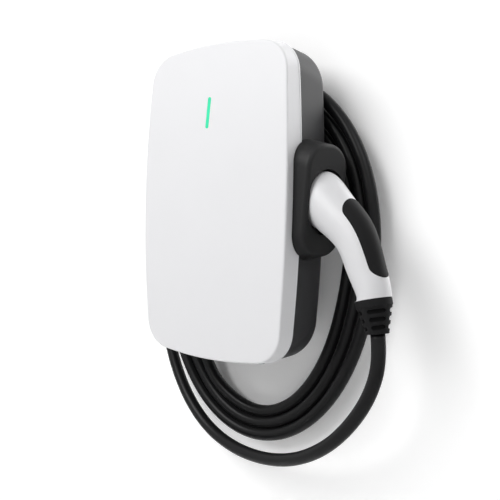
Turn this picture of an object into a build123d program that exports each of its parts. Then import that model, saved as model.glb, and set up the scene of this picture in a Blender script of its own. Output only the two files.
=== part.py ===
from build123d import *
import os
from math import cos, degrees, radians, sin, sqrt, tan

# Wall-mounted charging box with a parked plug and a cable coiled on a hub behind the housing.
# Millimetres, +Z up, +Y into the wall, front towards -Y, origin on the wall at the middle of the plate.

# Casing outline: a rectangle with bowed sides and rounded corners
face_width = 230.0
face_height = 385.0
side_bow = 9.5
top_bow = 10.5
face_corner = 38.0

# Depths, measured out from the wall
total_depth = 123.0
cover_depth = 27.0
wall_gap = 40.0
joint_depth = total_depth - cover_depth

# Front cover
cover_wall = 3.0
cover_flare = 2.6
cover_edge = 2.4
crown_radius = 4000.0
cover_lip_rise = 0.4
cover_lip_depth = 1.4
cover_screw_inset = 45.0

# Seal under the cover's rear edge
seal_thick = 2.4
seal_setback = 2.0
shoulder_depth = joint_depth - seal_thick

# Rear housing
housing_wall = 3.0
housing_front = 1.4
housing_back = 1.5
housing_back_corner = 57.0
housing_edge = 10.0
spigot_wall = 2.5
spigot_height = 9.0
fit_gap = 0.3

# Light bar in the cover
bar_width = 5.2
bar_height = 38.0
bar_corner = 2.2
bar_x = -5.9
bar_drop = 83.2
bar_z = face_height / 2 - bar_drop
bar_tilt = 4.4
bar_lip = 2.0
bar_lip_thick = 1.6
bar_post_reach = 7.0
bar_post_radius = 3.0
led_board_width = 12.0
led_board_thick = 1.6
led_gap = 3.0

# Wall plate and hub
plate_width = 150.0
plate_height = 280.0
plate_thick = 3.0
plate_corner = 12.0
bolt_spacing_x = 120.0
bolt_spacing_z = 250.0
bolt_hole_radius = 3.5
hub_width = 156.0
hub_top = 118.3
hub_bottom = -98.0
hub_wall = 3.0
hub_boss_radius = 6.5
hub_boss_inset = 8.0
hub_boss_z = 45.0

# Screws
screw_radius = 2.0
pilot_radius = 2.0
screw_head_radius = 3.8
screw_head_height = 2.4
screw_length = 12.0

# Plug: nose, pistol-shaped shell, grip inlay and strain relief
nose_radius = 25.0
nose_flat = 0.76 * nose_radius
nose_length = 38.0
nose_start = -11.7
head_rim = 2.0
head_width = 2 * (nose_radius + head_rim)
head_height = 64.0
contact_pitch = 0.6 * nose_radius
contact_row = 0.5 * nose_radius
contact_radius = 0.176 * nose_radius
contact_wall = 1.0
contact_depth = 30.0
pilot_contact_radius = 0.112 * nose_radius
shell_end_reach = 72.3
shell_end_z = -102.5
shell_end_drop = 76.0
grip_sink = 2.0
grip_proud = 0.5
grip_top_radius = 18.5
grip_low_radius = 14.5
grip_length = 98.0
grip_lean = 60.0
grip_reach = 49.7
grip_z = -42.8
relief_length = 37.0
relief_collar = 8.0
relief_step = 0.6
relief_start_radius = 20.0
relief_end_radius = 12.4
relief_end_drop = 81.0
slot_height = 4.8
slot_width = 22.0
slot_sink = 5.5
slot_rows = 3
slot_columns = 4
slot_pitch = 8.6
slot_first = 13.2

# Holster on the right side: its face turns towards the front and tips downwards
holster_turn = 10.0
holster_tip = 5.0
holster_stand = 26.7
holster_sink = 11.0
holster_face_setback = 17.3
holster_base_setback = 21.0
holster_face = Vector(face_width / 2 + holster_stand, holster_face_setback - joint_depth, 4.0)
recess_gap = 1.2
recess_top_gap = 4.0
recess_low_gap = 8.0
recess_rim = 3.0
recess_width = head_width + 2 * recess_gap
recess_height = head_height + recess_top_gap + recess_low_gap
recess_depth = 12.0
holster_lead = 3.5
holster_face_width = recess_width + 2 * recess_rim + holster_lead
holster_face_height = 127.5
holster_face_corner = 0.44 * holster_face_width
holster_base = Vector(face_width / 2 - holster_sink, holster_base_setback - joint_depth, 5.0)
holster_spread = 0.6
holster_base_width = holster_face_width + 2 * holster_spread
holster_base_height = holster_face_height + 20.0
holster_base_corner = 0.45 * holster_base_width
holster_edge = 5.5
socket_wall = 2.6
socket_depth = 41.0
holster_screw_y = [-(wall_gap + share * (shoulder_depth - wall_gap)) for share in (0.82, 0.33)]
holster_screw_z = (-50.0, 60.0)

# Charging cable
cable_radius = 8.0
cable_gap = 0.3
coil_depth = (plate_thick + wall_gap) / 2
coil_thick = 22.0
coil_z = -65.0
coil_inner = 128.0
coil_inner_top = 184.0
coil_inner_low = 201.0
coil_outer = 180.0
coil_outer_top = 232.0
coil_outer_low = 247.0
coil_outer_left = 170.5
coil_last_left = 2 * coil_outer - coil_outer_left

# Gland under the outlet on the hub's left side
outlet_left = -112.0
outlet_low = -30.0
outlet_shoulder = 4.0
outlet_top = 44.0
gland_x = -95.0
gland_hex = 15.0
gland_hex_height = 9.0
gland_length = 38.0
gland_body_radius = 10.5
gland_shoulder_radius = 12.6
gland_tip_radius = 10.5
gland_nut_hex = 13.5
gland_nut_height = 5.0

# Inside the housing
board_x = -7.0
board_top_drop = 40.5
board_low_rise = 124.5
board_z = (board_low_rise - board_top_drop) / 2
board_side = 30.0
board_width = face_width - 2 * board_side
board_height = face_height - board_top_drop - board_low_rise
board_thick = 1.6
board_corner = 6.0
board_standoff = 9.0
board_margin = 8.0
standoff_radius = 4.0
relay_width = 30.0
relay_height = 22.0
relay_depth = 25.0
relay_pitch = 36.0
sensor_outer = 19.0
sensor_inner = 12.0
sensor_depth = 18.0
radio_width = 26.0
radio_height = 18.0
radio_depth = 3.0
terminal_width = 92.0
terminal_height = 30.0
terminal_depth = 38.0
terminal_rise = 52.5
terminal_z = terminal_rise - face_height / 2
terminal_ways = 5
terminal_hole_radius = 4.0
grommet_x = -40.0
grommet_radius = 17.0
grommet_lip = 3.0
grommet_lip_height = 2.0
grommet_recess = 2.0
grommet_collar = 5.0
grommet_collar_height = 9.0

# Cable routes, chosen along the hang of the cable. Each point is x, y, z.
lead_route = [
    (-95.0, -21.5, -68.3),
    (-95.0, -21.5, -126.0),
    (-92.0, -21.5, -185.0),
    (-67.0, -21.5, -239.0),
]
tail_route = [
    (-180.0, -21.5, -65.0),
    (-180.0, -21.5, -118.0),
    (-169.0, -22.0, -175.0),
    (-147.0, -26.0, -229.0),
    (-113.0, -32.0, -277.0),
    (-62.0, -40.0, -312.0),
    (-5.0, -50.0, -326.0),
    (56.0, -62.0, -321.0),
    (109.5, -74.0, -303.0),
    (157.0, -85.0, -273.0),
    (196.0, -91.0, -241.0),
    (219.0, -94.0, -204.0),
    (224.4, -93.3, -165.7),
]


def bowed_face(depth, growth, corner):
    half_x = face_width / 2 + growth
    half_z = face_height / 2 + growth
    tip_x = half_x - side_bow
    tip_z = half_z - top_bow
    with BuildSketch(Plane.XZ.offset(depth)) as outline:
        with BuildLine():
            ThreePointArc((-tip_x, tip_z), (0, half_z), (tip_x, tip_z))
            ThreePointArc((tip_x, tip_z), (half_x, 0), (tip_x, -tip_z))
            ThreePointArc((tip_x, -tip_z), (0, -half_z), (-tip_x, -tip_z))
            ThreePointArc((-tip_x, -tip_z), (-half_x, 0), (-tip_x, tip_z))
        make_face()
        fillet(outline.vertices(), corner)
    return outline.sketch


def bowed_ring(depth, outer_growth, inner_growth):
    with BuildSketch(Plane.XZ.offset(depth)) as ring:
        add(bowed_face(0, outer_growth, face_corner + outer_growth))
        add(bowed_face(0, inner_growth, face_corner + inner_growth), mode=Mode.SUBTRACT)
    return ring.sketch


def crown_drop(x, z):
    return crown_radius - sqrt(crown_radius**2 - x**2 - z**2)


def cover_form(inset):
    front = bowed_face(total_depth, -inset, face_corner - inset)
    rear = bowed_face(joint_depth, cover_flare - inset, face_corner + cover_flare - inset)
    with BuildPart() as form:
        loft([front, rear], ruled=True)
        with Locations((0, crown_radius - total_depth, 0)):
            Sphere(crown_radius - inset, mode=Mode.INTERSECT)
    return form.part


def housing_form(inset):
    front = bowed_face(shoulder_depth, housing_front - inset, face_corner + housing_front - inset)
    back = bowed_face(wall_gap + inset, housing_back - inset, housing_back_corner - inset)
    with BuildPart() as form:
        loft([front, back], ruled=True)
        fillet(form.faces().sort_by(Axis.Y)[-1].edges(), housing_edge - inset)
    return form.part


def housing_side(depth, z):
    share = (shoulder_depth - depth) / (shoulder_depth - wall_gap)
    growth = housing_front + share * (housing_back - housing_front)
    half_z = face_height / 2 - top_bow
    return face_width / 2 + growth - side_bow * (z / half_z) ** 2


def plug_plane(reach, z, drop):
    turn = radians(holster_turn)
    fall = radians(drop)
    origin = (holster_face.X + reach * cos(turn), holster_face.Y - reach * sin(turn), z)
    ahead = (cos(fall) * cos(turn), -cos(fall) * sin(turn), -sin(fall))
    return Plane(origin=origin, x_dir=(sin(turn), cos(turn), 0), z_dir=ahead)


def parked_plane(reach):
    return plug_plane(0, holster_face.Z, holster_tip).offset(reach)


def socket_form(growth):
    start = parked_plane(-recess_depth)
    with BuildPart() as form:
        with BuildSketch(start):
            Circle(nose_radius + fit_gap + socket_wall + growth)
        extrude(amount=-(socket_depth + socket_wall + growth))
    return form.part


def shell_form(growth):
    # Stations along the plug's spine: reach, height, drop of the axis, section height and width
    stations = [
        (parked_plane(nose_start), head_height, head_width),
        (plug_plane(3.6, -0.7, 20.0), 61.5, 55.0),
        (plug_plane(15.4, -11.2, 37.0), 54.5, 52.5),
        (plug_plane(33.0, -25.0, 46.0), 51.2, 47.5),
        (plug_plane(49.0, -44.0, 58.0), 47.0, 43.5),
        (plug_plane(60.5, -69.0, 67.0), 43.5, 41.0),
        (plug_plane(shell_end_reach, shell_end_z, shell_end_drop), 41.0, 40.0),
    ]
    sections = []
    for plane, height, width in stations:
        with BuildSketch(plane) as section:
            Ellipse(width / 2 + growth, height / 2 + growth)
        sections.append(section.sketch)
    with BuildPart() as form:
        loft(sections)
    return form.part


def screw(plane):
    with BuildPart() as form:
        with BuildSketch(plane):
            Circle(screw_head_radius)
        extrude(amount=screw_head_height)
        with BuildSketch(plane):
            Circle(screw_radius)
        extrude(amount=-screw_length)
    return form.part


def cable_tube(route):
    points = [Vector(*p) for p in route]
    runs = [b - a for a, b in zip(points, points[1:])]
    radii = []
    for before, after in zip(runs, runs[1:]):
        shorter = min(before.length, after.length)
        radii.append(0.45 * shorter / tan(radians(before.get_angle(after) / 2)))
    with BuildPart() as tube:
        with BuildLine() as path:
            FilletPolyline(*points, radius=radii)
        with BuildSketch(Plane(origin=points[0], z_dir=runs[0])):
            Circle(cable_radius)
        sweep(path=path.line)
    length = path.wires()[0].length
    share = tube.part.volume / (length * 3.14159265 * cable_radius**2)
    print("cable run", round(length, 1), "mm, volume share", round(share, 4))
    print("bend radii", [round(r) for r in radii])
    return tube.part


os.makedirs("parts", exist_ok=True)
socket_cut = socket_form(fit_gap)

# Front cover: crowned shell, slot for the light bar and two posts for its board
bar_front = total_depth - crown_drop(bar_x, bar_z)
bar_back = bar_front - cover_wall - bar_lip_thick
led_depth = bar_back - led_gap
bar_spot = Location((bar_x, bar_z), -bar_tilt)
post_spots = [bar_spot * Location((0, end * (bar_height / 2 + bar_post_reach))) for end in (-1, 1)]
cover_screw_x = face_width / 2 - cover_screw_inset
cover_screw_depth = joint_depth + spigot_height / 2
cover_screw_growth = cover_flare * (total_depth - cover_screw_depth) / cover_depth
cover_screw_bow = top_bow * (cover_screw_x / (face_width / 2 - side_bow)) ** 2
cover_screw_z = cover_screw_bow - face_height / 2 - cover_screw_growth
cover_screw_planes = [
    Plane(origin=(end * cover_screw_x, -cover_screw_depth, cover_screw_z + cover_wall / 2), z_dir=(0, 0, -1))
    for end in (-1, 1)
]

with BuildPart() as bar_posts:
    with BuildSketch(Plane.XZ.offset(led_depth)):
        with Locations(*post_spots):
            Circle(bar_post_radius)
    extrude(amount=total_depth - led_depth)
    add(cover_form(cover_wall / 2), mode=Mode.INTERSECT)

with BuildPart() as front_cover:
    add(cover_form(0))
    fillet(front_cover.faces().sort_by(Axis.Y)[0].edges(), cover_edge)
    extrude(bowed_ring(joint_depth, cover_flare + cover_lip_rise, 0), amount=cover_lip_depth)
    add(cover_form(cover_wall), mode=Mode.SUBTRACT)
    add(bar_posts.part)
    with BuildSketch(Plane.XZ.offset(total_depth)):
        with Locations(bar_spot):
            RectangleRounded(bar_width, bar_height, bar_corner)
    extrude(amount=-2 * cover_wall, mode=Mode.SUBTRACT)
    add(socket_cut, mode=Mode.SUBTRACT)
    for plane in cover_screw_planes:
        with BuildSketch(plane):
            Circle(screw_head_radius + fit_gap)
        extrude(amount=2 * cover_wall, mode=Mode.SUBTRACT)
        with BuildSketch(plane):
            Circle(screw_radius + fit_gap)
        extrude(amount=-2 * cover_wall, mode=Mode.SUBTRACT)
front_cover.part.label = "front_cover"
export_step(front_cover.part, "parts/front_cover.step")

# Light bar: a lens flush with the crowned face, with a lip behind the cover's wall
with BuildPart() as bar_flange:
    with BuildSketch(Plane.XZ.offset(bar_back)):
        with Locations(bar_spot):
            RectangleRounded(bar_width + 2 * bar_lip, bar_height + 2 * bar_lip, bar_corner + bar_lip)
    extrude(amount=cover_wall)
    with Locations((0, crown_radius - total_depth, 0)):
        Sphere(crown_radius - cover_wall, mode=Mode.INTERSECT)

with BuildPart() as light_bar:
    with BuildSketch(Plane.XZ.offset(bar_back)):
        with Locations(bar_spot):
            RectangleRounded(bar_width, bar_height, bar_corner)
    extrude(amount=total_depth - bar_back)
    with Locations((0, crown_radius - total_depth, 0)):
        Sphere(crown_radius, mode=Mode.INTERSECT)
    add(bar_flange.part)
light_bar.part.label = "light_bar"
export_step(light_bar.part, "parts/light_bar.step")

with BuildPart() as led_board:
    with BuildSketch(Plane.XZ.offset(led_depth)):
        with Locations(bar_spot):
            RectangleRounded(led_board_width, bar_height + 4 * bar_post_reach, bar_corner + bar_lip)
    extrude(amount=-led_board_thick)
led_board.part.label = "led_board"
export_step(led_board.part, "parts/led_board.step")

# Seal between the cover's rear edge and the housing's shoulder, round the housing's spigot
spigot_growth = cover_flare * (cover_depth - spigot_height) / cover_depth - cover_wall - fit_gap
with BuildPart() as cover_seal:
    seal_ring = bowed_ring(shoulder_depth, cover_flare - seal_setback, spigot_growth + fit_gap)
    extrude(seal_ring, amount=seal_thick)
    add(socket_cut, mode=Mode.SUBTRACT)
cover_seal.part.label = "cover_seal"
export_step(cover_seal.part, "parts/cover_seal.step")

with BuildPart() as cover_screws:
    for plane in cover_screw_planes:
        add(screw(plane))
cover_screws.part.label = "cover_screws"
export_step(cover_screws.part, "parts/cover_screws.step")

# Rear housing: drafted shell with a spigot inside the cover, screw bosses and board standoffs
inner_back = wall_gap + housing_wall
board_depth = inner_back + board_standoff
standoff_spots = [
    (board_x + i * (board_width / 2 - board_margin), board_z + j * (board_height / 2 - board_margin))
    for i in (-1, 1)
    for j in (-1, 1)
]
hub_boss_spots = [
    (i * (hub_width / 2 - hub_boss_inset), j * hub_boss_z)
    for i in (-1, 1)
    for j in (-1, 1)
]
holster_screw_planes = []
for y in holster_screw_y:
    for z in holster_screw_z:
        inner_x = housing_side(-y, z) - housing_wall + fit_gap
        holster_screw_planes.append(Plane(origin=(inner_x, y, z), z_dir=(-1, 0, 0)))

with BuildPart() as spigot:
    extrude(bowed_ring(shoulder_depth - housing_wall, spigot_growth, spigot_growth - spigot_wall),
            amount=housing_wall + seal_thick + spigot_height)

grommet_depth = (joint_depth + wall_gap) / 2
grommet_bow = top_bow * (grommet_x / (face_width / 2 - side_bow)) ** 2
grommet_z = grommet_bow - face_height / 2 - (housing_front + housing_back) / 2
grommet_plane = Plane(origin=(grommet_x, -grommet_depth, grommet_z), z_dir=(0, 0, -1))
with BuildPart() as grommet_seat:
    with BuildSketch(grommet_plane.offset(-grommet_collar_height)):
        Circle(grommet_radius + grommet_collar)
    extrude(amount=2 * grommet_collar_height)
    add(housing_form(0), mode=Mode.INTERSECT)

with BuildPart() as rear_housing:
    add(housing_form(0))
    add(housing_form(housing_wall), mode=Mode.SUBTRACT)
    add(spigot.part)
    add(grommet_seat.part)
    with BuildSketch(grommet_plane):
        Circle(grommet_radius)
    extrude(amount=-2 * grommet_collar_height, mode=Mode.SUBTRACT)
    with BuildSketch(grommet_plane):
        Circle(grommet_radius)
    extrude(amount=grommet_collar_height, mode=Mode.SUBTRACT)
    for plane in cover_screw_planes:
        with BuildSketch(plane.offset(-cover_wall - fit_gap)):
            Circle(screw_head_radius)
        extrude(amount=-screw_length + cover_wall)
        with BuildSketch(plane):
            Circle(pilot_radius)
        extrude(amount=-screw_length, mode=Mode.SUBTRACT)
    with BuildSketch(Plane.XZ.offset(inner_back)):
        with Locations(*standoff_spots):
            Circle(standoff_radius)
    extrude(amount=board_standoff)
    with BuildSketch(Plane.XZ.offset(board_depth)):
        with Locations(*standoff_spots):
            Circle(pilot_radius)
    extrude(amount=-board_standoff, mode=Mode.SUBTRACT)
    with BuildSketch(Plane.XZ.offset(wall_gap)):
        with Locations(*hub_boss_spots):
            Circle(screw_radius + fit_gap)
    extrude(amount=2 * housing_wall, mode=Mode.SUBTRACT)
    for plane in holster_screw_planes:
        with BuildSketch(plane):
            Circle(screw_radius + fit_gap)
        extrude(amount=-3 * housing_wall, mode=Mode.SUBTRACT)
        with BuildSketch(plane):
            Circle(screw_head_radius + fit_gap)
        extrude(amount=housing_wall, mode=Mode.SUBTRACT)
    add(socket_cut, mode=Mode.SUBTRACT)
rear_housing.part.label = "rear_housing"
export_step(rear_housing.part, "parts/rear_housing.step")

# Holster: slanted block on the housing's side, with a recess for the plug's head and a socket for its nose
base_plane = Plane(origin=holster_base, x_dir=(0, 1, 0), z_dir=(1, 0, 0))
face_plane = parked_plane(0)
with BuildSketch(base_plane) as base_outline:
    RectangleRounded(holster_base_width, holster_base_height, holster_base_corner)
with BuildSketch(face_plane) as face_outline:
    with Locations((-holster_lead / 2, 0)):
        RectangleRounded(holster_face_width, holster_face_height, holster_face_corner)

with BuildPart() as holster:
    loft([base_outline.sketch, face_outline.sketch])
    fillet(holster.faces().sort_by(Axis.X)[-1].edges(), holster_edge)
    add(housing_form(-fit_gap), mode=Mode.SUBTRACT)
    add(cover_form(-fit_gap), mode=Mode.SUBTRACT)
    lip_growth = cover_flare + cover_lip_rise + fit_gap
    lip_band = bowed_face(shoulder_depth - fit_gap, lip_growth, face_corner + lip_growth)
    extrude(lip_band, amount=seal_thick + cover_lip_depth + 2 * fit_gap, mode=Mode.SUBTRACT)
    add(socket_form(0))
    with BuildSketch(face_plane):
        with Locations((0, (recess_top_gap - recess_low_gap) / 2)):
            SlotOverall(recess_height, recess_width, rotation=90)
    extrude(amount=-recess_depth, mode=Mode.SUBTRACT)
    with BuildSketch(parked_plane(-recess_depth)):
        Circle(nose_radius + fit_gap)
    extrude(amount=-socket_depth, mode=Mode.SUBTRACT)
    for plane in holster_screw_planes:
        with BuildSketch(plane):
            Circle(pilot_radius)
        extrude(amount=-screw_length, mode=Mode.SUBTRACT)
holster.part.label = "holster"
export_step(holster.part, "parts/holster.step")

with BuildPart() as holster_screws:
    for plane in holster_screw_planes:
        add(screw(plane))
holster_screws.part.label = "holster_screws"
export_step(holster_screws.part, "parts/holster_screws.step")

# Wall plate and the hub that the cable hangs on
with BuildPart() as wall_plate:
    with BuildSketch(Plane.XZ):
        RectangleRounded(plate_width, plate_height, plate_corner)
        with GridLocations(bolt_spacing_x, bolt_spacing_z, 2, 2):
            Circle(bolt_hole_radius, mode=Mode.SUBTRACT)
        with Locations(*hub_boss_spots):
            Circle(screw_radius + fit_gap, mode=Mode.SUBTRACT)
    extrude(amount=plate_thick)
    with BuildSketch(Plane.XZ):
        with Locations(*hub_boss_spots):
            Circle(screw_head_radius + fit_gap)
    extrude(amount=plate_thick / 2, mode=Mode.SUBTRACT)
wall_plate.part.label = "wall_plate"
export_step(wall_plate.part, "parts/wall_plate.step")

hub_height = hub_top - hub_bottom
hub_z = (hub_top + hub_bottom) / 2
gland_plane = Plane(origin=(gland_x, -coil_depth, outlet_low), z_dir=(0, 0, -1))

outlet_corners = [
    (0, outlet_low),
    (outlet_left, outlet_low),
    (outlet_left, outlet_shoulder),
    (-hub_width / 2, outlet_top),
    (0, outlet_top),
]
with BuildSketch(Plane.XZ.offset(plate_thick)) as outlet_outline:
    with BuildLine():
        Polyline(*outlet_corners, close=True)
    make_face()
with BuildSketch(Plane.XZ.offset(plate_thick + hub_wall)) as outlet_inside:
    with BuildLine():
        Polyline(*outlet_corners, close=True)
    make_face()
    offset(amount=-hub_wall, mode=Mode.REPLACE)

with BuildPart() as cable_hub:
    with BuildSketch(Plane.XZ.offset(plate_thick)):
        with Locations((0, hub_z)):
            SlotOverall(hub_height, hub_width, rotation=90)
    extrude(amount=wall_gap - plate_thick)
    extrude(outlet_outline.sketch, amount=wall_gap - plate_thick)
    with BuildSketch(Plane.XZ.offset(plate_thick + hub_wall)):
        with Locations((0, hub_z)):
            SlotOverall(hub_height - 2 * hub_wall, hub_width - 2 * hub_wall, rotation=90)
    extrude(amount=wall_gap, mode=Mode.SUBTRACT)
    extrude(outlet_inside.sketch, amount=wall_gap - plate_thick - 2 * hub_wall, mode=Mode.SUBTRACT)
    with BuildSketch(Plane.XZ.offset(plate_thick)):
        with Locations(*hub_boss_spots):
            Circle(hub_boss_radius)
    extrude(amount=wall_gap - plate_thick)
    with BuildSketch(Plane.XZ.offset(plate_thick)):
        with Locations(*hub_boss_spots):
            Circle(pilot_radius)
    extrude(amount=wall_gap - plate_thick, mode=Mode.SUBTRACT)
    with BuildSketch(gland_plane):
        Circle(gland_body_radius + fit_gap)
    extrude(amount=-2 * hub_wall, mode=Mode.SUBTRACT)
cable_hub.part.label = "cable_hub"
export_step(cable_hub.part, "parts/cable_hub.step")

with BuildPart() as plate_screws:
    for x, z in hub_boss_spots:
        add(screw(Plane(origin=(x, -plate_thick / 2, z), z_dir=(0, 1, 0))))
    with BuildSketch(Plane.XZ):
        with Locations(*hub_boss_spots):
            Circle(2 * screw_head_radius)
    extrude(amount=-plate_thick, mode=Mode.SUBTRACT)
plate_screws.part.label = "plate_screws"
export_step(plate_screws.part, "parts/plate_screws.step")

with BuildPart() as housing_screws:
    for x, z in hub_boss_spots:
        add(screw(Plane(origin=(x, -inner_back, z), z_dir=(0, -1, 0))))
housing_screws.part.label = "housing_screws"
export_step(housing_screws.part, "parts/housing_screws.step")

# Gland for the charging cable: hexagon, clamping dome and bend relief, with a lock nut inside the hub
gland_stub = hub_wall + gland_nut_height
with BuildPart() as cable_gland:
    with BuildSketch(gland_plane):
        RegularPolygon(gland_hex, 6)
    extrude(amount=gland_hex_height)
    with BuildSketch(gland_plane):
        Circle(gland_body_radius)
    extrude(amount=-gland_stub)
    with BuildSketch(gland_plane.offset(gland_hex_height)) as dome_foot:
        Circle(gland_shoulder_radius)
    with BuildSketch(gland_plane.offset(gland_length)) as dome_tip:
        Circle(gland_tip_radius)
    loft([dome_foot.sketch, dome_tip.sketch])
cable_gland.part.label = "cable_gland"
export_step(cable_gland.part, "parts/cable_gland.step")

with BuildPart() as gland_nut:
    with BuildSketch(gland_plane.offset(-hub_wall)):
        RegularPolygon(gland_nut_hex, 6)
        Circle(gland_body_radius, mode=Mode.SUBTRACT)
    extrude(amount=-gland_nut_height)
gland_nut.part.label = "gland_nut"
export_step(gland_nut.part, "parts/gland_nut.step")

# Supply grommet: a closed membrane in the collar of the housing's bottom wall
with BuildPart() as supply_grommet:
    with BuildSketch(grommet_plane.offset(-grommet_recess)):
        Circle(grommet_radius)
    extrude(amount=-(grommet_collar_height - grommet_recess))
    with BuildSketch(grommet_plane.offset(-grommet_collar_height)):
        Circle(grommet_radius + grommet_lip)
    extrude(amount=-grommet_lip_height)
supply_grommet.part.label = "supply_grommet"
export_step(supply_grommet.part, "parts/supply_grommet.step")

# Boards and parts inside
with BuildPart() as main_board:
    with BuildSketch(Plane.XZ.offset(board_depth)):
        with Locations((board_x, board_z)):
            RectangleRounded(board_width, board_height, board_corner)
        with Locations(*standoff_spots):
            Circle(screw_radius + fit_gap, mode=Mode.SUBTRACT)
    extrude(amount=board_thick)
main_board.part.label = "main_board"
export_step(main_board.part, "parts/main_board.step")

board_front = board_depth + board_thick
with BuildPart() as board_screws:
    for x, z in standoff_spots:
        add(screw(Plane(origin=(x, -board_front, z), z_dir=(0, -1, 0))))
    with BuildSketch(Plane.XZ.offset(inner_back)):
        with Locations(*standoff_spots):
            Circle(2 * screw_radius)
    extrude(amount=-screw_length, mode=Mode.SUBTRACT)
board_screws.part.label = "board_screws"
export_step(board_screws.part, "parts/board_screws.step")

with BuildPart() as power_relays:
    with BuildSketch(Plane.XZ.offset(board_front)):
        with Locations((board_x, board_z - board_height / 4)):
            with GridLocations(relay_pitch, relay_pitch, 4, 1):
                RectangleRounded(relay_width, relay_height, 2)
    extrude(amount=relay_depth)
power_relays.part.label = "power_relays"
export_step(power_relays.part, "parts/power_relays.step")

with BuildPart() as current_sensor:
    with BuildSketch(Plane.XZ.offset(board_front)):
        with Locations((board_x, board_z)):
            Circle(sensor_outer)
            Circle(sensor_inner, mode=Mode.SUBTRACT)
    extrude(amount=sensor_depth)
    chamfer(current_sensor.faces().sort_by(Axis.Y)[0].edges(), 1.5)
current_sensor.part.label = "current_sensor"
export_step(current_sensor.part, "parts/current_sensor.step")

with BuildPart() as radio_shield:
    with BuildSketch(Plane.XZ.offset(board_front)):
        with Locations((board_x, board_z + board_height / 3)):
            RectangleRounded(radio_width, radio_height, 1.5)
    extrude(amount=radio_depth)
radio_shield.part.label = "radio_shield"
export_step(radio_shield.part, "parts/radio_shield.step")

with BuildPart() as supply_terminals:
    with BuildSketch(Plane.XZ.offset(inner_back)):
        with Locations((0, terminal_z)):
            Rectangle(terminal_width, terminal_height)
    extrude(amount=terminal_depth)
    with BuildSketch(Plane.XZ.offset(inner_back + terminal_depth)):
        with Locations((0, terminal_z)):
            with GridLocations(terminal_width / terminal_ways, 0, terminal_ways, 1):
                Circle(terminal_hole_radius)
    extrude(amount=-terminal_depth / 2, mode=Mode.SUBTRACT)
supply_terminals.part.label = "supply_terminals"
export_step(supply_terminals.part, "parts/supply_terminals.step")

# Plug shell with the seat of its grip inlay
grip_plane = plug_plane(grip_reach, grip_z, grip_lean)
with BuildPart() as grip_prism:
    with BuildSketch(Plane(origin=grip_plane.origin, x_dir=grip_plane.x_dir, z_dir=grip_plane.y_dir)):
        with Locations((0, grip_length / 2 - grip_top_radius)):
            Circle(grip_top_radius)
        with Locations((0, grip_low_radius - grip_length / 2)):
            Circle(grip_low_radius)
        make_hull()
    extrude(amount=4 * grip_top_radius)

with BuildPart() as plug_grip:
    add(shell_form(grip_proud))
    add(grip_prism.part, mode=Mode.INTERSECT)
    add(shell_form(-grip_sink), mode=Mode.SUBTRACT)
plug_grip.part.label = "plug_grip"
export_step(plug_grip.part, "parts/plug_grip.step")

with BuildPart() as plug_shell:
    add(shell_form(0))
    add(plug_grip.part, mode=Mode.SUBTRACT)
plug_shell.part.label = "plug_shell"
export_step(plug_shell.part, "parts/plug_shell.step")

# Contact carrier: a flattened round nose with seven contact holes
nose_plane = parked_plane(nose_start)
power_spots = [(i * contact_pitch, 0) for i in (-1, 0, 1)]
power_spots += [(i * contact_pitch / 2, -contact_row) for i in (-1, 1)]
pilot_spots = [(i * contact_pitch / 2, contact_row) for i in (-1, 1)]
tip_plane = nose_plane.offset(-nose_length)

with BuildPart() as plug_nose:
    with BuildSketch(nose_plane):
        Circle(nose_radius)
        with Locations((0, nose_flat + nose_radius)):
            Rectangle(2 * nose_radius, 2 * nose_radius, mode=Mode.SUBTRACT)
    extrude(amount=-nose_length)
    with BuildSketch(tip_plane):
        with Locations(*power_spots):
            Circle(contact_radius)
        with Locations(*pilot_spots):
            Circle(pilot_contact_radius)
    extrude(amount=contact_depth, mode=Mode.SUBTRACT)
plug_nose.part.label = "plug_nose"
export_step(plug_nose.part, "parts/plug_nose.step")

with BuildPart() as plug_contacts:
    with BuildSketch(tip_plane.offset(contact_depth)):
        with Locations(*power_spots):
            Circle(contact_radius)
            Circle(contact_radius - contact_wall, mode=Mode.SUBTRACT)
        with Locations(*pilot_spots):
            Circle(pilot_contact_radius)
            Circle(pilot_contact_radius - contact_wall, mode=Mode.SUBTRACT)
    extrude(amount=-contact_depth + 2 * contact_wall)
plug_contacts.part.label = "plug_contacts"
export_step(plug_contacts.part, "parts/plug_contacts.step")

# Strain relief: collar and slotted cone, bent a little by the cable's weight
relief_planes = []
for down in (0, relief_collar, relief_length):
    drop = shell_end_drop + (relief_end_drop - shell_end_drop) * down / relief_length
    mean_drop = (shell_end_drop + drop) / 2
    reach = shell_end_reach + down * cos(radians(mean_drop))
    relief_planes.append(plug_plane(reach, shell_end_z - down * sin(radians(mean_drop)), drop))
relief_plane, cone_plane, relief_end = relief_planes

with BuildPart() as strain_relief:
    with BuildSketch(relief_plane):
        Circle(relief_start_radius)
    extrude(amount=relief_collar)
    with BuildSketch(relief_plane.offset(relief_collar)) as cone_top:
        Circle(relief_start_radius - relief_step)
    with BuildSketch(relief_end) as cone_end:
        Circle(relief_end_radius)
    loft([cone_top.sketch, cone_end.sketch])
    fall = (relief_start_radius - relief_step - relief_end_radius) / (relief_length - relief_collar)
    for row in range(slot_rows):
        down = slot_first + row * slot_pitch
        radius = relief_start_radius - relief_step - fall * (down - relief_collar)
        for column in range(slot_columns):
            turn = radians((column + 0.5) * 360 / slot_columns)
            spoke = cone_plane.x_dir * cos(turn) + cone_plane.y_dir * sin(turn)
            middle = cone_plane.offset(down - relief_collar).origin
            slot_floor = Plane(middle, cone_plane.z_dir.cross(spoke), spoke).offset(radius - slot_sink)
            with BuildSketch(slot_floor) as slot:
                SlotOverall(slot_width * radius / relief_start_radius, slot_height)
            extrude(slot.sketch, amount=2 * slot_sink, mode=Mode.SUBTRACT)
strain_relief.part.label = "strain_relief"
export_step(strain_relief.part, "parts/strain_relief.step")

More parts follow.
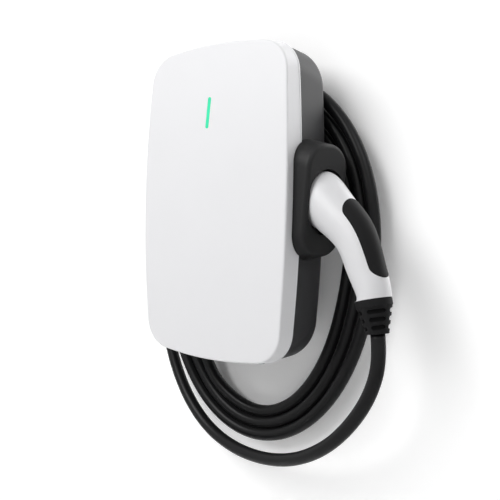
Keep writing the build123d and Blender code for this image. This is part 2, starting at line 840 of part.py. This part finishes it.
# Cable: lead out of the gland, coil on the hub, hanging tail up to the strain relief
tail_end = relief_end.offset(cable_gap).origin
with BuildPart() as cable_lead:
    add(cable_tube(lead_route))
cable_lead.part.label = "cable_lead"
export_step(cable_lead.part, "parts/cable_lead.step")

with BuildPart() as cable_coil:
    with BuildSketch(Plane.XZ.offset(coil_depth - coil_thick / 2)) as coil_outline:
        with BuildLine():
            EllipticalCenterArc((0, coil_z), coil_outer, coil_outer_top, start_angle=0, arc_size=90)
            EllipticalCenterArc((0, coil_z), coil_last_left, coil_outer_top, start_angle=90, arc_size=90)
            Line((-coil_last_left, coil_z), (-coil_outer_left, coil_z))
            EllipticalCenterArc((0, coil_z), coil_outer_left, coil_outer_low, start_angle=180, arc_size=90)
            EllipticalCenterArc((0, coil_z), coil_outer, coil_outer_low, start_angle=270, arc_size=90)
        make_face()
        with BuildLine():
            EllipticalCenterArc((0, coil_z), coil_inner, coil_inner_top, start_angle=0, arc_size=180)
            EllipticalCenterArc((0, coil_z), coil_inner, coil_inner_low, start_angle=180, arc_size=180)
        make_face(mode=Mode.SUBTRACT)
    extrude(amount=coil_thick)
cable_coil.part.label = "cable_coil"
export_step(cable_coil.part, "parts/cable_coil.step")

with BuildPart() as cable_tail:
    add(cable_tube(tail_route + [tuple(tail_end)]))
cable_tail.part.label = "cable_tail"
export_step(cable_tail.part, "parts/cable_tail.step")
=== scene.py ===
import math

import bpy
import bmesh
from mathutils import Matrix, Vector


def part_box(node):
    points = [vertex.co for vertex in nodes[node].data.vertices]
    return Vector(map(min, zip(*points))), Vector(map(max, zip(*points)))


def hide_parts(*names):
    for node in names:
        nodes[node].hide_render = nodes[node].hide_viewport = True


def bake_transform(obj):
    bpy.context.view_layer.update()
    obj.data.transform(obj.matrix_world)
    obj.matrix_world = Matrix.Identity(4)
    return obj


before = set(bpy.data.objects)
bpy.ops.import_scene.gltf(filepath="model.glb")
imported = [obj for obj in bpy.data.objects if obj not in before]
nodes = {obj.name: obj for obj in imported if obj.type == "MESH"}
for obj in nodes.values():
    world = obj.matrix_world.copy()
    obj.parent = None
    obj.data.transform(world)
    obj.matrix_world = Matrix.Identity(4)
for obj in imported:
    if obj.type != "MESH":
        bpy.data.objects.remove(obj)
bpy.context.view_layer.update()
scene = bpy.context.scene
scene.view_settings.view_transform = "Standard"
print("frame loaded:", len(nodes), "nodes")

# camera at the photograph's angle; places in metres, angles in degrees, lens and sensor in millimetres
cameraSettings = {
    "aim": (0.0663, -0.123, -0.0551),
    "yaw": 39.0,  # round to the right-hand side
    "lift": 2.1,
    "roll": 1.45,
    "distance": 0.856,
    "lens": 52.93,
    "sensor": 36,
}


def addCamera(cfg):
    yaw, lift, roll = (math.radians(cfg[k]) for k in ("yaw", "lift", "roll"))
    back = Vector((math.sin(yaw) * math.cos(lift), -math.cos(yaw) * math.cos(lift), math.sin(lift)))
    right = Vector((math.cos(yaw), math.sin(yaw), 0))
    up = back.cross(right)
    rolledRight = right * math.cos(roll) + up * math.sin(roll)
    rolledUp = up * math.cos(roll) - right * math.sin(roll)
    data = bpy.data.cameras.new("camera")
    data.lens = cfg["lens"]
    data.sensor_width = cfg["sensor"]
    camera = bpy.data.objects.new("camera", data)
    turn = Matrix((rolledRight, rolledUp, back)).transposed().to_4x4()
    camera.matrix_world = Matrix.Translation(Vector(cfg["aim"]) + back * cfg["distance"]) @ turn
    scene.collection.objects.link(camera)
    scene.camera = camera


addCamera(cameraSettings)
print("camera set")

# charging cable: lead out of the gland, three turns on the hub, hanging tail up to the plug
cableSettings = {
    "diameter": 0.016,
    "length": 4.2,
    "sides": 20,
    "smoothness": 10,  # line points for each spline point
    "turns": 3,
    "pointsPerTurn": 16,
    "firstTurnShare": 0.22,  # of a turn already made where the lead ends
    "coilHeight": -0.065,
    "coilDepth": -0.0215,
    "depthGrowth": 0.004,  # each turn lies a little in front of the one inside it
    "rightRadius": 0.134,  # of the first turn, at the share of a turn that stands below it
    "rightAt": 0.5,
    "rightGrowth": 0.0195,  # with each turn
    "leftRadius": 0.148,
    "leftAt": 1,
    "leftGrowth": 0.0155,
    "lowRadius": 0.2095,
    "lowAt": 0.25,
    "lowGrowth": 0.0145,
    "topRadius": 0.192,
    "topAt": 0.75,
    "topGrowth": 0.0195,
    "shoulder": 0.019,  # how far the turns stand out at the upper right, the outer ones less
    "shoulderFade": 0.0039,
    "leadRoute": [
        (-0.095, -0.0215, -0.0683),
        (-0.096, -0.0215, -0.126),
        (-0.101, -0.0215, -0.186),
        (-0.079, -0.0205, -0.241),
    ],
    "tailRoute": [
        (-0.180, -0.0215, -0.065),
        (-0.180, -0.0215, -0.118),
        (-0.170, -0.022, -0.176),
        (-0.148, -0.026, -0.2295),
        (-0.112, -0.032, -0.2765),
        (-0.065, -0.040, -0.308),
        (-0.0085, -0.050, -0.322),
        (0.052, -0.062, -0.320),
        (0.107, -0.074, -0.305),
        (0.156, -0.085, -0.277),
        (0.1925, -0.091, -0.2405),
        (0.2158, -0.094, -0.203),
        (0.2244, -0.0933, -0.1657),
        (0.2202, -0.0925, -0.1390),
    ],
    "bendFrom": (0, -0.037, 0),
    "bendTo": (0, -0.090, 0),
}


def coilPoint(cfg, share):
    angle = math.pi + 2 * math.pi * share
    swell = 1 / math.cos(math.pi / cfg["pointsPerTurn"])  # the spline runs inside its points
    if math.cos(angle) < 0:
        side = cfg["leftRadius"] + cfg["leftGrowth"] * (share - cfg["leftAt"])
    else:
        side = cfg["rightRadius"] + cfg["rightGrowth"] * (share - cfg["rightAt"])
    if math.sin(angle) < 0:
        rise = cfg["lowRadius"] + cfg["lowGrowth"] * (share - cfg["lowAt"])
    else:
        rise = cfg["topRadius"] + cfg["topGrowth"] * (share - cfg["topAt"])
    if math.cos(angle) > 0 and math.sin(angle) > 0:
        standOut = (cfg["shoulder"] - cfg["shoulderFade"] * share) * math.sin(2 * angle) * math.cos(angle)
        side += standOut
        rise += standOut
    depth = cfg["coilDepth"] - cfg["depthGrowth"] * (share - cfg["turns"] / 2)
    return (side * swell * math.cos(angle), depth, cfg["coilHeight"] + rise * swell * math.sin(angle))


def cableControlPoints(cfg):
    points = list(cfg["leadRoute"])
    step = 1 / cfg["pointsPerTurn"]
    share = cfg["firstTurnShare"]
    while share < cfg["turns"] - step / 2:
        points.append(coilPoint(cfg, share))
        share += step
    return points + cfg["tailRoute"]


def smoothLine(name, points, smoothness):
    curve = bpy.data.curves.new(name, "CURVE")
    curve.dimensions = "3D"
    curve.resolution_u = smoothness
    spline = curve.splines.new("NURBS")
    spline.points.add(len(points) - 1)
    for slotPoint, place in zip(spline.points, points):
        slotPoint.co = (*place, 1)
    spline.order_u = 3
    spline.use_endpoint_u = True
    holder = bpy.data.objects.new(name, curve)
    scene.collection.objects.link(holder)
    bpy.context.view_layer.update()
    mesh = bpy.data.meshes.new_from_object(holder)
    line = [v.co.copy() for v in mesh.vertices]
    bpy.data.objects.remove(holder)
    bpy.data.curves.remove(curve)
    bpy.data.meshes.remove(mesh)
    return line


def tubeAlong(name, line, radius, sides):
    bm = bmesh.new()
    across = Vector((0, 1, 0))  # carried along the line, so the tube doesn't twist
    rings = []
    for i, place in enumerate(line):
        ahead = (line[min(i + 1, len(line) - 1)] - line[max(i - 1, 0)]).normalized()
        across = (across - ahead * across.dot(ahead)).normalized()
        side = ahead.cross(across)
        ring = []
        for k in range(sides):
            turn = 2 * math.pi * k / sides
            ring.append(bm.verts.new(place + (across * math.cos(turn) + side * math.sin(turn)) * radius))
        rings.append(ring)
    for a, b in zip(rings, rings[1:]):
        for k in range(sides):
            face = bm.faces.new((a[k], a[(k + 1) % sides], b[(k + 1) % sides], b[k]))
            face.smooth = True
    bm.faces.new(list(reversed(rings[0])))
    bm.faces.new(rings[-1])
    bmesh.ops.recalc_face_normals(bm, faces=bm.faces)
    mesh = bpy.data.meshes.new(name)
    bm.to_mesh(mesh)
    bm.free()
    tube = bpy.data.objects.new(name, mesh)
    scene.collection.objects.link(tube)
    return tube


def addCable(cfg):
    line = smoothLine("cableLine", cableControlPoints(cfg), cfg["smoothness"])
    tube = tubeAlong("charging_cable", line, cfg["diameter"] / 2, cfg["sides"])
    run = sum((b - a).length for a, b in zip(line, line[1:]))
    print("cable runs", round(run, 3), "m over", len(line), "points")
    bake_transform(tube)
    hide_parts("cable_lead", "cable_coil", "cable_tail")
    return tube


chargingCable = addCable(cableSettings)


class Value:  # one output of a node, ready for sums
    def __init__(self, owner, socket):
        self.owner = owner
        self.socket = socket

    def sum(self, operation, first, second):
        return self.owner.node("ShaderNodeMath", {"operation": operation}, {0: first, 1: second})

    def __add__(self, other):
        return self.sum("ADD", self, other)

    def __radd__(self, other):
        return self.sum("ADD", other, self)

    def __sub__(self, other):
        return self.sum("SUBTRACT", self, other)

    def __rsub__(self, other):
        return self.sum("SUBTRACT", other, self)

    def __mul__(self, other):
        return self.sum("MULTIPLY", self, other)

    def __rmul__(self, other):
        return self.sum("MULTIPLY", other, self)

    def __truediv__(self, other):
        return self.sum("DIVIDE", self, other)

    def __rtruediv__(self, other):
        return self.sum("DIVIDE", other, self)


class NodeTree:  # the nodes of one material, or of the world
    def __init__(self, tree):
        self.tree = tree

    def node(self, kind, settings=None, inputs=None, output=0):
        made = self.tree.nodes.new(kind)
        for key, value in (settings or {}).items():
            if key == "stops":
                self.setStops(made, value)
            else:
                setattr(made, key, value)
        for key, value in (inputs or {}).items():
            self.feed(made.inputs[key], value)
        return Value(self, made.outputs[output])

    def setStops(self, ramp, stops):
        elements = ramp.color_ramp.elements
        while len(elements) < len(stops):
            elements.new(0.5)
        for element, (place, colour) in zip(elements, stops):
            element.position = place
            element.color = (*colour, 1)

    def feed(self, socket, value):
        if isinstance(value, Value):
            self.tree.links.new(value.socket, socket)
        elif hasattr(value, "__len__") and len(value) == 3 and socket.type == "RGBA":
            socket.default_value = (*value, 1)
        else:
            socket.default_value = value


class Finish(NodeTree):  # one material
    def __init__(self, name):
        self.material = bpy.data.materials.new(name)
        self.material.use_nodes = True
        super().__init__(self.material.node_tree)
        self.shader = self.tree.nodes["Principled BSDF"]
        self.output = self.tree.nodes["Material Output"]

    def set(self, **inputs):
        for key, value in inputs.items():
            self.feed(self.shader.inputs[key.replace("_", " ")], value)

    def place(self):
        return self.node("ShaderNodeTexCoord", output="Object")

    def noise(self, size, detail=3.0, stretch=(1, 1, 1)):
        spot = self.node("ShaderNodeMapping", {}, {"Vector": self.place(), "Scale": stretch})
        return self.node("ShaderNodeTexNoise", {}, {"Vector": spot, "Scale": 1 / size, "Detail": detail})

    def mixed(self, factor, first, second):
        sockets = {"Factor": factor, "A": first, "B": second}
        return self.node("ShaderNodeMix", {"data_type": "RGBA"}, sockets, "Result")

    def bump(self, height, depth):
        return self.node("ShaderNodeBump", {}, {"Height": height, "Distance": depth})


noiseMiddle = 0.5  # noise runs from 0 to 1

# moulded plastics and paint; sizes and depths in metres
plasticDefaults = {
    "detail": 2.0,
    "shine": 0.5,
    "coat": 0,
    "coatRoughness": 0.2,
}
plasticSettings = {
    "whiteCover": {
        "colour": (0.825, 0.825, 0.84), "shade": (0.795, 0.795, 0.81), "cloudSize": 0.12,
        "grainSize": 0.0009, "grainDepth": 0.00002, "roughness": 0.5, "roughnessSpread": 0.08,
        "coat": 0.04, "coatRoughness": 0.3,
    },
    "whitePlug": {
        "colour": (0.74, 0.74, 0.753), "shade": (0.70, 0.70, 0.712), "cloudSize": 0.05,
        "grainSize": 0.0008, "grainDepth": 0.00002, "roughness": 0.42, "roughnessSpread": 0.08,
    },
    "darkHousing": {
        "colour": (0.045, 0.045, 0.047), "shade": (0.036, 0.036, 0.038), "cloudSize": 0.06,
        "grainSize": 0.0007, "grainDepth": 0.00006, "roughness": 0.42, "roughnessSpread": 0.16,
        "shine": 0.25,
    },
    "blackHolster": {
        "colour": (0.015, 0.015, 0.0155), "shade": (0.011, 0.011, 0.0115), "cloudSize": 0.04,
        "grainSize": 0.0007, "grainDepth": 0.00005, "roughness": 0.45, "roughnessSpread": 0.14,
        "shine": 0.2,
    },
    "softGrip": {
        "colour": (0.011, 0.011, 0.0115), "shade": (0.008, 0.008, 0.0085), "cloudSize": 0.02,
        "grainSize": 0.0006, "grainDepth": 0.00008, "roughness": 0.62, "roughnessSpread": 0.12,
        "shine": 0.1,
    },
    "cableJacket": {
        "colour": (0.011, 0.011, 0.0115), "shade": (0.008, 0.008, 0.0085), "cloudSize": 0.03,
        "grainSize": 0.0012, "grainDepth": 0.00004, "roughness": 0.3, "roughnessSpread": 0.1,
        "shine": 0.14,
    },
    "relayCase": {
        "colour": (0.02, 0.02, 0.022), "shade": (0.03, 0.03, 0.032), "cloudSize": 0.02,
        "grainSize": 0.0008, "grainDepth": 0.00004, "roughness": 0.4, "roughnessSpread": 0.1,
    },
    "terminalGrey": {
        "colour": (0.3, 0.31, 0.32), "shade": (0.26, 0.27, 0.28), "cloudSize": 0.03,
        "grainSize": 0.0008, "grainDepth": 0.00004, "roughness": 0.5, "roughnessSpread": 0.1,
    },
    "platePaint": {
        "colour": (0.09, 0.09, 0.094), "shade": (0.075, 0.075, 0.079), "cloudSize": 0.05,
        "grainSize": 0.0012, "grainDepth": 0.0001, "roughness": 0.5, "roughnessSpread": 0.2,
    },
}


def mouldedPlastic(name, settings):
    cfg = {**plasticDefaults, **settings}
    finish = Finish(name)
    cloud = finish.noise(cfg["cloudSize"], cfg["detail"])
    grain = finish.noise(cfg["grainSize"], cfg["detail"])
    finish.set(
        Base_Color=finish.mixed(cloud, cfg["colour"], cfg["shade"]),
        Roughness=cfg["roughness"] + (grain - noiseMiddle) * cfg["roughnessSpread"],
        Normal=finish.bump(grain, cfg["grainDepth"]),
        Specular_IOR_Level=cfg["shine"],
        Coat_Weight=cfg["coat"],
        Coat_Roughness=cfg["coatRoughness"],
    )
    return finish.material


metalSettings = {
    "screwSteel": {
        "colour": (0.56, 0.57, 0.58), "shade": (0.42, 0.43, 0.44), "streakSize": 0.002,
        "stretch": (1, 1, 1), "streakDepth": 0.00002, "roughness": 0.32, "roughnessSpread": 0.2,
    },
    "shieldTin": {
        "colour": (0.7, 0.7, 0.69), "shade": (0.6, 0.6, 0.59), "streakSize": 0.004,
        "stretch": (6, 1, 1), "streakDepth": 0.00001, "roughness": 0.35, "roughnessSpread": 0.15,
    },
    "contactSilver": {
        "colour": (0.78, 0.74, 0.66), "shade": (0.68, 0.63, 0.55), "streakSize": 0.002,
        "stretch": (1, 1, 1), "streakDepth": 0.00001, "roughness": 0.25, "roughnessSpread": 0.1,
    },
}


def plainMetal(name, cfg):
    finish = Finish(name)
    streak = finish.noise(cfg["streakSize"], stretch=cfg["stretch"])
    finish.set(
        Base_Color=finish.mixed(streak, cfg["colour"], cfg["shade"]),
        Roughness=cfg["roughness"] + (streak - noiseMiddle) * cfg["roughnessSpread"],
        Normal=finish.bump(streak, cfg["streakDepth"]),
        Metallic=1,
    )
    return finish.material


boardSettings = {
    "colour": (0.02, 0.14, 0.06),
    "track": (0.05, 0.24, 0.11),
    "trackScale": 60.0,
    "trackWidth": 0.06,
    "trackShare": 0.7,
    "cloudSize": 0.01,
    "roughness": 0.35,
    "roughnessSpread": 0.1,
}


def circuitBoard(name, cfg):
    finish = Finish(name)
    black = (0, 0, 0)
    white = (1, 1, 1)
    pattern = {"Vector": finish.place(), "Scale": cfg["trackScale"], "Mortar Size": cfg["trackWidth"]}
    mask = {"Color1": black, "Color2": black, "Mortar": white}
    tracks = finish.node("ShaderNodeTexBrick", {}, {**pattern, **mask})
    finish.set(
        Base_Color=finish.mixed(tracks * cfg["trackShare"], cfg["colour"], cfg["track"]),
        Roughness=cfg["roughness"] + finish.noise(cfg["cloudSize"]) * cfg["roughnessSpread"],
    )
    return finish.material


# light bar, a little brighter at its middle
lensSettings = {
    "colour": (0.005, 0.15, 0.07),
    "middle": (0.03, 0.9, 0.5),
    "ends": (0.025, 0.8, 0.44),
    "strength": 0.75,
    "roughness": 0.25,
}


def litLens(name, cfg):
    finish = Finish(name)
    low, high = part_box("light_bar")
    height = finish.node("ShaderNodeSeparateXYZ", {}, {"Vector": finish.place()}, "Z")
    share = (height - low.z) / (high.z - low.z)
    stops = [(0, cfg["ends"]), (0.5, cfg["middle"]), (1, cfg["ends"])]
    glow = finish.node("ShaderNodeValToRGB", {"stops": stops}, {"Fac": share})
    finish.set(
        Base_Color=cfg["colour"],
        Emission_Color=glow,
        Emission_Strength=cfg["strength"],
        Roughness=cfg["roughness"],
    )
    return finish.material


finishes = {name: mouldedPlastic(name, cfg) for name, cfg in plasticSettings.items()}
finishes.update({name: plainMetal(name, cfg) for name, cfg in metalSettings.items()})
finishes["circuitBoard"] = circuitBoard("circuitBoard", boardSettings)
finishes["litLens"] = litLens("litLens", lensSettings)

wornBy = {
    "whiteCover": ["front_cover"],
    "whitePlug": ["plug_shell"],
    "darkHousing": ["rear_housing", "cable_hub"],
    "blackHolster": ["holster", "cable_gland", "gland_nut", "plug_nose"],
    "softGrip": ["plug_grip", "strain_relief", "cover_seal", "supply_grommet"],
    "relayCase": ["power_relays", "current_sensor"],
    "terminalGrey": ["supply_terminals"],
    "platePaint": ["wall_plate"],
    "screwSteel": ["plate_screws", "housing_screws", "cover_screws", "holster_screws", "board_screws"],
    "shieldTin": ["radio_shield"],
    "contactSilver": ["plug_contacts"],
    "circuitBoard": ["main_board", "led_board"],
    "litLens": ["light_bar"],
}


def wear(piece, material):
    piece.data.materials.clear()
    piece.data.materials.append(material)


for finishName, names in wornBy.items():
    for nodeName in names:
        wear(nodes[nodeName], finishes[finishName])
wear(chargingCable, finishes["cableJacket"])
print("finishes on", sum(len(v) for v in wornBy.values()), "nodes and the cable")

# pale wall behind the box and pale floor below it
stageSettings = {
    "sheetSize": 6.0,
    "wallPlace": 0.0012,  # just behind the wall plate
    "wallLift": 0.25,  # keeps the wall white in the picture, with the lamps at a plain level
    "shadeReach": 0.16,  # near the box and the cable the wall is lifted less: painted shade on the wall, by ambient occlusion
    "floorHeight": -1.05,
    "colour": (0.94, 0.94, 0.94),
    "roughness": 0.9,
}


def stageSheet(name, size, matrix, material):
    bm = bmesh.new()
    bmesh.ops.create_grid(bm, x_segments=1, y_segments=1, size=size / 2)
    mesh = bpy.data.meshes.new(name)
    bm.to_mesh(mesh)
    bm.free()
    sheet = bpy.data.objects.new(name, mesh)
    sheet.matrix_world = matrix
    scene.collection.objects.link(sheet)
    wear(sheet, material)


def wallFinish(cfg):
    # seen from behind, and by shadow rays, the wall is clear
    finish = Finish("paleWall")
    seen = finish.node("ShaderNodeLightPath", output="Is Camera Ray")
    # ambient occlusion cuts the camera-only lift near the box and the cable, painting shade onto the wall
    # there
    paintedShadeAO = finish.node("ShaderNodeAmbientOcclusion", {}, {"Distance": cfg["shadeReach"]}, "AO")
    finish.set(
        Base_Color=cfg["colour"],
        Roughness=cfg["roughness"],
        Emission_Color=seen * paintedShadeAO,
        Emission_Strength=cfg["wallLift"],
        Specular_IOR_Level=0,
    )
    back = finish.node("ShaderNodeNewGeometry", output="Backfacing")
    shadow = finish.node("ShaderNodeLightPath", output="Is Shadow Ray")
    clear = finish.node("ShaderNodeMath", {"operation": "MAXIMUM"}, {0: back, 1: shadow})
    solid = Value(finish, finish.shader.outputs[0])
    through = finish.node("ShaderNodeBsdfTransparent")
    mix = finish.node("ShaderNodeMixShader", {}, {0: clear, 1: solid, 2: through})
    finish.feed(finish.output.inputs["Surface"], mix)
    return finish.material


def floorFinish(cfg):
    finish = Finish("paleFloor")
    finish.set(Base_Color=cfg["colour"], Roughness=cfg["roughness"], Specular_IOR_Level=0)
    return finish.material


upright = Matrix.Rotation(math.radians(90), 4, "X")
wallMatrix = Matrix.Translation((0, stageSettings["wallPlace"], 0)) @ upright
floorMatrix = Matrix.Translation((0, 0, stageSettings["floorHeight"]))
stageSheet("wall", stageSettings["sheetSize"], wallMatrix, wallFinish(stageSettings))
stageSheet("floor", stageSettings["sheetSize"], floorMatrix, floorFinish(stageSettings))

lampSettings = {
    "key": {"place": (-0.6, -1.9, 1.25), "size": 1.7, "power": 42.0},
    "fill": {"place": (1.5, -1.1, 1.5), "size": 1.1, "power": 9.0},
    "rear": {"place": (0.6, 1.8, 0.9), "size": 1.6, "power": 32.0},
}
lampTarget = Vector((0.03, -0.06, -0.05))


def addLamp(name, cfg):
    data = bpy.data.lights.new(name, "AREA")
    data.shape = "DISK"
    data.size = cfg["size"]
    data.energy = cfg["power"]
    lamp = bpy.data.objects.new(name, data)
    lamp.location = cfg["place"]
    lamp.rotation_euler = (lampTarget - Vector(cfg["place"])).to_track_quat("-Z", "Y").to_euler()
    scene.collection.objects.link(lamp)


# white where the world is seen or mirrored, dimmer as a light
worldSettings = {
    "colour": (1, 1, 1),
    "seenStrength": 1,
    "lightStrength": 0.17,
}


def addWorld(cfg):
    world = bpy.data.worlds.new("studio")
    scene.world = world
    world.use_nodes = True
    sky = NodeTree(world.node_tree)
    camera = sky.node("ShaderNodeLightPath", output="Is Camera Ray")
    glossy = sky.node("ShaderNodeLightPath", output="Is Glossy Ray")
    seen = sky.node("ShaderNodeMath", {"operation": "MAXIMUM"}, {0: camera, 1: glossy})
    ends = {"To Min": cfg["lightStrength"], "To Max": cfg["seenStrength"]}
    level = sky.node("ShaderNodeMapRange", {}, {"Value": seen, **ends})
    background = sky.tree.nodes["Background"]
    sky.feed(background.inputs["Strength"], level)
    sky.feed(background.inputs["Color"], cfg["colour"])


for lampName, lampCfg in lampSettings.items():
    addLamp(lampName, lampCfg)
addWorld(worldSettings)
print("stage and lamps set")
